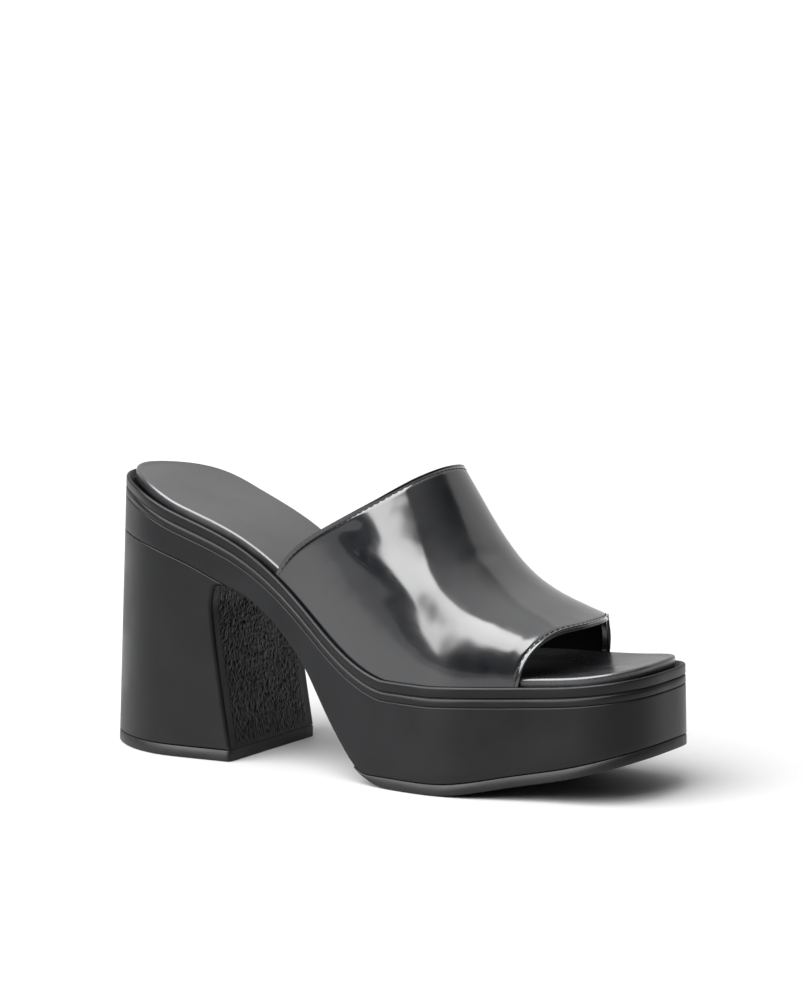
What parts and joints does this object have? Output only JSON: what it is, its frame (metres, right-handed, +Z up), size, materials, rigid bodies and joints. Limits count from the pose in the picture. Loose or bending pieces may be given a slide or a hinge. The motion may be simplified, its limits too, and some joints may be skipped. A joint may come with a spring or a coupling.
{
  "type": "platform sandal",
  "caption": "Black leather slide sandal with an open toe, a single wide vamp band, a thick platform and a chunky block heel.",
  "frame": {"origin": "middle of the footprint's bounding box, on the floor", "axes": "+X towards the toe, +Y towards the inner side of the foot, +Z up"},
  "size_m": [0.2458, 0.088, 0.1208],
  "materials": {
    "upper_leather": "polished",
    "insole_leather": "satin",
    "sole_unit": "matt",
    "tread_rubber": "matt"
  },
  "bodies": {
    "root": {"upper": "upper_leather", "insole": "insole_leather", "platform": "sole_unit", "heel_block": "sole_unit", "heel_tip": "tread_rubber", "outsole": "tread_rubber"}
  },
  "joints": []
}
